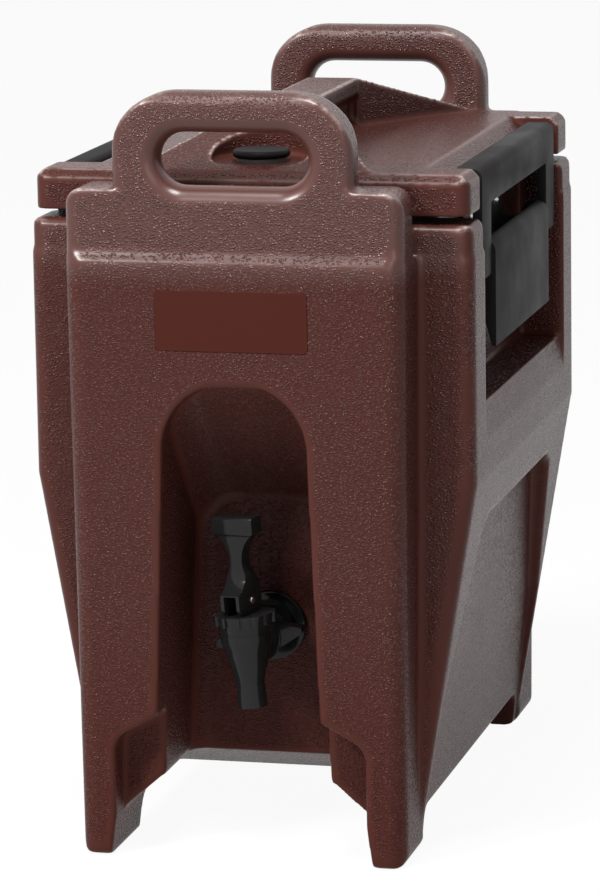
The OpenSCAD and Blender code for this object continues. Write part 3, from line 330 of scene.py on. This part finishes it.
satin_black, _ = moulded("satin_black", (0.009, 0.008, 0.0085, 1), (0.014, 0.0125, 0.013, 1),
                         (0.42, 0.52), grain_scale=1500.0, grain_depth=0.00012, shine=0.03)
gloss_black, _ = moulded("gloss_black", (0.006, 0.006, 0.006, 1), (0.010, 0.010, 0.010, 1),
                         (0.08, 0.14), grain_scale=160.0, grain_depth=0.00006, shine=0.2)
steel, steel_shader = moulded("drawn_steel", (0.48, 0.47, 0.46, 1), (0.62, 0.61, 0.60, 1),
                              (0.22, 0.34), grain_scale=900.0, grain_depth=0.00005, tone_scale=400.0)
steel_shader.inputs["Metallic"].default_value = 1.0
grey_rubber, _ = moulded("grey_rubber", (0.16, 0.155, 0.15, 1), (0.22, 0.215, 0.21, 1),
                         (0.52, 0.64), grain_scale=800.0, grain_depth=0.0001)
clear_rubber, clear_shader = moulded("clear_rubber", (0.62, 0.60, 0.56, 1), (0.72, 0.70, 0.66, 1),
                                     (0.28, 0.38), grain_scale=500.0, grain_depth=0.00005)
clear_shader.inputs["Subsurface Weight"].default_value = 0.3
clear_shader.inputs["Subsurface Radius"].default_value = (0.004, 0.003, 0.002)
foam, _ = moulded("pale_foam", (0.62, 0.52, 0.34, 1), (0.74, 0.64, 0.44, 1),
                  (0.8, 0.95), grain_scale=300.0, grain_depth=0.0008)

finish_of_slot = {"brown_plastic": brown, "foam": foam, "grey_rubber": grey_rubber,
                  "clear_rubber": clear_rubber, "black_plastic": satin_black, "black_gloss": gloss_black,
                  "steel": steel}
print("finishes:", sorted(finish_of_slot))

# %% [markdown]
# ## Giving every CAD node its finish
#
# The record lists which material slot each node belongs to. Pieces that stay as the CAD made them
# take the finish of their slot straight away, and so does any new piece made from them later.

# %% Finishes by slot
slot_of_node = {sub["node"]: sub["material_slot"] for sub in frame["record"]["subparts"]}
bodies = frame["record"]["behaviour"]["bodies"]
body_of_node = {node: name for name, members in bodies.items() for node in members}


def dress(obj, finish):
    obj.data.materials.clear()
    obj.data.materials.append(finish)


for name, obj in frame["nodes"].items():
    dress(obj, finish_of_slot[slot_of_node[name]])
print("finished", len(slot_of_node), "nodes")

# %% [markdown]
# ## Making a moulded skin
#
# A tumbled moulding has no knife edges: the powder lies a few millimetres deep in every corner, so
# each edge comes out softly rounded. A bevel can break on a shape with this many meeting cuts.
# So copies of the solids are joined, laid over with an even net of small squares and relaxed a
# little. The net's bending is then measured at each point, to tell the finish where the wall is
# flat and where it has an edge.

# %% Helpers for moulded skins
def merged_copy(name, *nodes):
    """One object that holds copies of CAD meshes, with their loose triangles joined up."""
    mesh = bpy.data.meshes.new(name)
    work = bmesh.new()
    for node in nodes:
        work.from_mesh(frame["nodes"][node].data)
    bmesh.ops.remove_doubles(work, verts=work.verts, dist=2e-6)
    work.to_mesh(mesh)
    work.free()
    made = bpy.data.objects.new(name, mesh)
    scene.collection.objects.link(made)
    return made


def bake_modifiers(obj):
    """Turns the object's modifiers into plain mesh."""
    graph = bpy.context.evaluated_depsgraph_get()
    graph.update()
    mesh = bpy.data.meshes.new_from_object(obj.evaluated_get(graph))
    mesh.name = obj.name
    obj.modifiers.clear()
    obj.data = mesh


def triangles(obj):
    obj.data.calc_loop_triangles()
    return len(obj.data.loop_triangles)


def relaxed_skin(obj, square, rounds, most):
    """An even net over the solid, relaxed so that edges turn soft, with at most so many triangles."""
    net = obj.modifiers.new("net", "REMESH")
    net.mode = "VOXEL"
    net.voxel_size = square
    relax = obj.modifiers.new("relax", "SMOOTH")
    relax.factor = 0.5
    relax.iterations = rounds
    bake_modifiers(obj)
    count = triangles(obj)
    if count > most:
        thin = obj.modifiers.new("thin", "DECIMATE")
        thin.ratio = most / count
        bake_modifiers(obj)
    obj.data.polygons.foreach_set("use_smooth", np.ones(len(obj.data.polygons), dtype=bool))


print("skin helpers ready")

# %% [markdown]
# ## Measuring how the skin bends
#
# Along each mesh edge, the turn of the normals over the edge's length is the bending there: 1 over
# the radius, per metre. Averaged over the edges at a point, it is small on walls and large on tight
# edges. The flat areas could be painted by hand, but this measure follows every change of shape.
# Outward bends that face up are marked apart, for the painted highlight and pale scuffs of the edges.

# %% Bending
bend_of_fillet, bend_fade = 50.0, 28.0
bend_of_edge, edge_fade = 70.0, 150.0
up_gain, up_start = 1.3, 0.1


def mark_bending(obj, reach):
    """Stores how flat the skin is at each point, blurred over a few steps, and where an edge faces up."""
    mesh = obj.data
    count = len(mesh.vertices)
    points, normals = np.empty(count * 3), np.empty(count * 3)
    mesh.vertices.foreach_get("co", points)
    mesh.vertices.foreach_get("normal", normals)
    points, normals = points.reshape(-1, 3), normals.reshape(-1, 3)
    ends = np.empty(len(mesh.edges) * 2, dtype=np.int64)
    mesh.edges.foreach_get("vertices", ends)
    a, b = ends.reshape(-1, 2).T
    span = points[b] - points[a]
    bend = ((normals[b] - normals[a]) * span).sum(1) / np.maximum((span ** 2).sum(1), 1e-12)
    valence = np.maximum(np.bincount(a, minlength=count) + np.bincount(b, minlength=count), 1)

    def gathered(at_first, at_second):
        return (np.bincount(a, at_first, count) + np.bincount(b, at_second, count)) / valence

    outward, amount = gathered(bend, bend), gathered(np.abs(bend), np.abs(bend))
    for _ in range(reach):
        amount = 0.5 * amount + 0.5 * gathered(amount[b], amount[a])
    flatness = np.clip((bend_of_fillet - amount) / bend_fade, 0.0, 1.0)
    facing_up = np.clip(up_gain * normals[:, 2] - up_start, 0.0, 1.0)
    edge = np.clip((outward - bend_of_edge) / edge_fade, 0.0, 1.0) * facing_up
    for label, values in (("flatness", flatness), ("edge", edge)):
        layer = mesh.attributes.new(label, "FLOAT", "POINT")
        layer.data.foreach_set("value", values.astype(np.float32))
    return float(flatness.mean())


print("the grain is gone at an average bending of", bend_of_fillet, "per metre")

# %% [markdown]
# ## The moulded body
#
# The real body is one moulding, and the CAD holds it in several nodes. Softening each node by
# itself would leave seams between them. So copies of them are put together with the foam and the
# tub's liner, which fill the space between, and the net closes over all of it as one skin.

# %% Body
skin_nodes = ("body_shell", "front_end", "rear_end", "front_grip", "rear_grip", "feet", "tub_liner")
body = merged_copy("moulded_body", "foam_core", *skin_nodes)
relaxed_skin(body, square=0.0019, rounds=4, most=195000)
dress(body, brown)
flat_share = mark_bending(body, reach=2)
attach(body, "carrier")
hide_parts(*skin_nodes)
print("body:", triangles(body), "triangles, flat share", round(flat_share, 2))

# %% [markdown]
# ## The lid
#
# The lid is moulded the same way, so it is made the same way, on a finer net: its bevels, its
# finger grooves and the sunk seat of the vent are smaller than most forms of the body.

# %% Lid
lid = merged_copy("moulded_lid", "lid_shell", "lid_foam")
relaxed_skin(lid, square=0.0015, rounds=3, most=180000)
dress(lid, brown)
flat_share = mark_bending(lid, reach=3)
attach(lid, "lid")
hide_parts("lid_shell")
print("lid:", triangles(lid), "triangles, flat share", round(flat_share, 2))

# %% [markdown]
# ## Crisp small parts
#
# The latches, the tap and the vent cap are injection moulded. Their edges are crisp but never
# sharp, with a radius of about half a millimetre that catches a thin line of light. Here a bevel is
# the right tool: the CAD mesh is copied, its flat faces are joined up, and every edge that turns by
# more than thirty degrees is rounded.

# %% Bevelled copies
flat_angle, sharp_angle = math.radians(1.0), math.radians(35.0)


def softened(name, node, body_name, width, angle=30.0, segments=3):
    """A copy of a CAD node with small round edges, riding on the node's own body in the node's place."""
    made = merged_copy(name, node)
    work = bmesh.new()
    work.from_mesh(made.data)
    bmesh.ops.dissolve_limit(work, angle_limit=flat_angle, verts=work.verts, edges=work.edges)
    work.to_mesh(made.data)
    work.free()
    bevel = made.modifiers.new("round", "BEVEL")
    bevel.width = width
    bevel.segments = segments
    bevel.limit_method = "ANGLE"
    bevel.angle_limit = math.radians(angle)
    bevel.use_clamp_overlap = True
    bake_modifiers(made)
    work = bmesh.new()
    work.from_mesh(made.data)
    bmesh.ops.triangulate(work, faces=[f for f in work.faces if len(f.verts) > 4])
    for face in work.faces:
        face.smooth = True
    for seam in work.edges:
        seam.smooth = len(seam.link_faces) == 2 and seam.calc_face_angle(0.0) < sharp_angle
    work.to_mesh(made.data)
    work.free()
    dress(made, finish_of_slot[slot_of_node[node]])
    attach(made, body_name)
    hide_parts(node)
    return made


edge_width = {
    "vent_cap": 0.0006,
    "right_latch_bracket": 0.0005, "left_latch_bracket": 0.0005,
    "right_latch_lever": 0.0007, "left_latch_lever": 0.0007,
    "right_latch_bail": 0.0008, "left_latch_bail": 0.0008,
    "shank_washer": 0.0005, "wing_nut": 0.0008,
    "tap_body": 0.0004, "tap_bonnet": 0.0005, "tap_lever": 0.0008, "valve_stem": 0.0003, "tap_pin": 0.0003,
}
for node, width in edge_width.items():
    made = softened(node + "_soft", node, body_of_node[node], width)
    print(made.name, triangles(made), "triangles")

# %% [markdown]
# ## One screw, repeated
#
# Four round-headed screws with a cross slot hold each latch bracket. They are all alike, so one
# tree of Geometry Nodes makes the screw once and sets it at the corners of a rectangle. Its sizes
# are named inputs, and each screw is turned by a random amount with a fixed seed, as screws are.

# %% Screw tree
slot_length, slot_width, slot_lift = 1.15, 0.26, 0.95
most_turn = 1.5


def cross_screw(tree, given, vector):
    """A domed head with a cross cut into it, on a plain shank."""
    radius, height = given["Head radius"], given["Head height"]
    ball = put(tree, "GeometryNodeMeshUVSphere", {}, {"Segments": 32, "Rings": 16, "Radius": 1.0})
    dome = put(tree, "GeometryNodeTransform", {},
               {"Geometry": ball.outputs["Mesh"], "Scale": vector(radius, radius, height)}).outputs[0]
    long, thin = times(tree, radius, slot_length), times(tree, radius, slot_width)
    lift = vector(0.0, 0.0, times(tree, height, slot_lift))
    cutters = []
    for across in (vector(long, thin, height), vector(thin, long, height)):
        bar = put(tree, "GeometryNodeMeshCube", {}, {"Size": across}).outputs["Mesh"]
        moved = put(tree, "GeometryNodeTransform", {}, {"Geometry": bar, "Translation": lift})
        cutters.append(moved.outputs[0])
    head = put(tree, "GeometryNodeMeshBoolean", {"operation": "DIFFERENCE"}, {"Mesh 1": dome})
    for cutter in reversed(cutters):
        tree.links.new(cutter, head.inputs["Mesh 2"])
    shank = put(tree, "GeometryNodeMeshCylinder", {},
                {"Vertices": 24, "Radius": given["Shank radius"], "Depth": given["Shank length"]})
    down = vector(0.0, 0.0, times(tree, given["Shank length"], -0.5))
    sunk = put(tree, "GeometryNodeTransform", {}, {"Geometry": shank.outputs["Mesh"], "Translation": down})
    screw = tree.nodes.new("GeometryNodeJoinGeometry")
    for part in (sunk.outputs[0], head.outputs["Mesh"]):
        tree.links.new(part, screw.inputs[0])
    return screw.outputs[0]


def screw_tree():
    """A tree that sets four screws at the corners of a rectangle, with their heads towards +X."""
    tree = bpy.data.node_groups.new("bracket_screws", "GeometryNodeTree")
    face = tree.interface
    face.new_socket("Geometry", in_out="INPUT", socket_type="NodeSocketGeometry")
    kinds = {"Height apart": "Float", "Length apart": "Float", "Head radius": "Float", "Head height": "Float",
             "Shank radius": "Float", "Shank length": "Float", "Seed": "Int", "Finish": "Material"}
    ids = {}
    for name, kind in kinds.items():
        ids[name] = face.new_socket(name, in_out="INPUT", socket_type="NodeSocket" + kind).identifier
    face.new_socket("Geometry", in_out="OUTPUT", socket_type="NodeSocketGeometry")
    given = tree.nodes.new("NodeGroupInput").outputs

    def vector(x, y, z):
        return put(tree, "ShaderNodeCombineXYZ", {}, {0: x, 1: y, 2: z}).outputs[0]

    screw = cross_screw(tree, given, vector)
    corners = put(tree, "GeometryNodeMeshGrid", {},
                  {"Size X": given["Height apart"], "Size Y": given["Length apart"],
                   "Vertices X": 2, "Vertices Y": 2}).outputs["Mesh"]
    spin = put(tree, "FunctionNodeRandomValue", {"data_type": "FLOAT"},
               {2: 0.0, 3: most_turn, "Seed": given["Seed"]}).outputs[1]
    spots = put(tree, "GeometryNodeInstanceOnPoints", {},
                {"Points": corners, "Instance": screw, "Rotation": vector(0.0, 0.0, spin)}).outputs[0]
    turned = put(tree, "GeometryNodeTransform", {},
                 {"Geometry": spots, "Rotation": (0.0, math.pi / 2, 0.0)}).outputs[0]
    real = put(tree, "GeometryNodeRealizeInstances", {}, {"Geometry": turned}).outputs[0]
    dressed = put(tree, "GeometryNodeSetMaterial", {}, {"Geometry": real, "Material": given["Finish"]})
    tree.links.new(dressed.outputs[0], tree.nodes.new("NodeGroupOutput").inputs[0])
    return tree, ids


screws, screw_input = screw_tree()
print("screw tree:", len(screws.nodes), "nodes")

# %% [markdown]
# ## The latch screws
#
# The CAD's screws say how far apart the heads are and how deep the shanks reach. The left bracket's
# screws are the right ones turned round, with another seed. The result is made plain mesh, so that
# it can be exported like any other piece.

# %% Screws on both brackets
head_r, head_h, shank_r = 0.0044, 0.0022, 0.0022


def set_screws(side, facing, seed):
    node = side + "_bracket_screws"
    low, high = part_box(node)
    made = bpy.data.objects.new(side + "_cross_screws", bpy.data.meshes.new(side + "_cross_screws"))
    scene.collection.objects.link(made)
    tree = made.modifiers.new("screws", "NODES")
    tree.node_group = screws
    sizes = {"Height apart": high.z - low.z - 2 * head_r, "Length apart": high.y - low.y - 2 * head_r,
             "Head radius": head_r, "Head height": head_h, "Shank radius": shank_r,
             "Shank length": high.x - low.x - head_h, "Seed": seed, "Finish": steel}
    for name, value in sizes.items():
        tree[screw_input[name]] = value
    bake_modifiers(made)
    outer = high.x if facing > 0 else low.x
    middle = (low + high) / 2
    flip = Matrix.Identity(4) if facing > 0 else Matrix.Rotation(math.pi, 4, "Z")
    made.data.transform(Matrix.Translation((outer - facing * head_h, middle.y, middle.z)) @ flip)
    made.data.polygons.foreach_set("use_smooth", np.zeros(len(made.data.polygons), dtype=bool))
    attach(made, body_of_node[node])
    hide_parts(node)
    return made


for made in (set_screws("right", 1, 3), set_screws("left", -1, 8)):
    print(made.name, triangles(made), "triangles")

# %% [markdown]
# ## The white room
#
# The carrier stands on a white floor in a white room. Bright light all round would wash out the
# plastic, so the lens and the reflections see the room as plain white, and what it sheds on the
# carrier is faint. The floor still takes the shadow, because only a part of its white
# is its own.

# %% Floor and sky
floor_half = 6.0
sky_strength = 0.12
floor_glow = 0.94
floor_colour, floor_rough = (0.86, 0.86, 0.86, 1.0), 0.9


def seen_rays(tree):
    """1 for rays from the lens, from reflections and through clear things, and 0 for the rest."""
    path = put(tree, "ShaderNodeLightPath", {}, {}).outputs
    mirrored = sums(tree, "MAXIMUM", path["Is Glossy Ray"], path["Is Transmission Ray"])
    return sums(tree, "MAXIMUM", path["Is Camera Ray"], mirrored)


def floor_finish():
    material, tree, main = new_finish("white_floor")
    main.inputs["Base Color"].default_value = floor_colour
    main.inputs["Roughness"].default_value = floor_rough
    glow = put(tree, "ShaderNodeEmission", {}, {"Color": (1.0, 1.0, 1.0, 1.0), "Strength": 1.0})
    blend = put(tree, "ShaderNodeMixShader", {}, {0: times(tree, seen_rays(tree), floor_glow),
                                                  1: main.outputs[0], 2: glow.outputs[0]})
    tree.links.new(blend.outputs[0], tree.nodes["Material Output"].inputs["Surface"])
    return material


mesh = bpy.data.meshes.new("floor")
corners = [(x * floor_half, y * floor_half, 0) for x, y in ((-1, -1), (1, -1), (1, 1), (-1, 1))]
mesh.from_pydata(corners, [], [(0, 1, 2, 3)])
floor = bpy.data.objects.new("floor", mesh)
mesh.materials.append(floor_finish())
scene.collection.objects.link(floor)

world = bpy.data.worlds.new("white_room")
scene.world = world
world.use_nodes = True
sky = world.node_tree.nodes["Background"]
sky.inputs["Color"].default_value = (1.0, 1.0, 1.0, 1.0)
strength = spread(world.node_tree, seen_rays(world.node_tree), 0.0, 1.0, sky_strength, 1.0)
world.node_tree.links.new(strength, sky.inputs["Strength"])
print("floor and sky ready")

# %% [markdown]
# ## The lamps
#
# A strong lamp above and to the left brings out the grain: it is small, so that the crowns glint. A
# second one above the front lights the grips and the lid, and a weak broad one on the right opens
# the shadows.

# %% Lamps
def lamp(name, spot, aim, size, power):
    data = bpy.data.lights.new(name, "AREA")
    data.shape = "RECTANGLE"
    data.size, data.size_y = size
    data.energy = power
    made = bpy.data.objects.new(name, data)
    made.location = spot
    made.rotation_euler = (Vector(aim) - Vector(spot)).to_track_quat("-Z", "Y").to_euler()
    scene.collection.objects.link(made)
    return made


lamp("key_lamp", spot=(-1.3, -1.9, 1.9), aim=(0.0, 0.0, 0.25), size=(0.5, 0.5), power=78.0)
lamp("top_lamp", spot=(0.0, -0.7, 1.9), aim=(0.0, 0.0, 0.3), size=(0.5, 0.5), power=34.0)
lamp("side_lamp", spot=(1.4, -1.9, 1.0), aim=(0.0, 0.0, 0.25), size=(1.0, 1.4), power=9.0)
scene.view_settings.view_transform = "Standard"
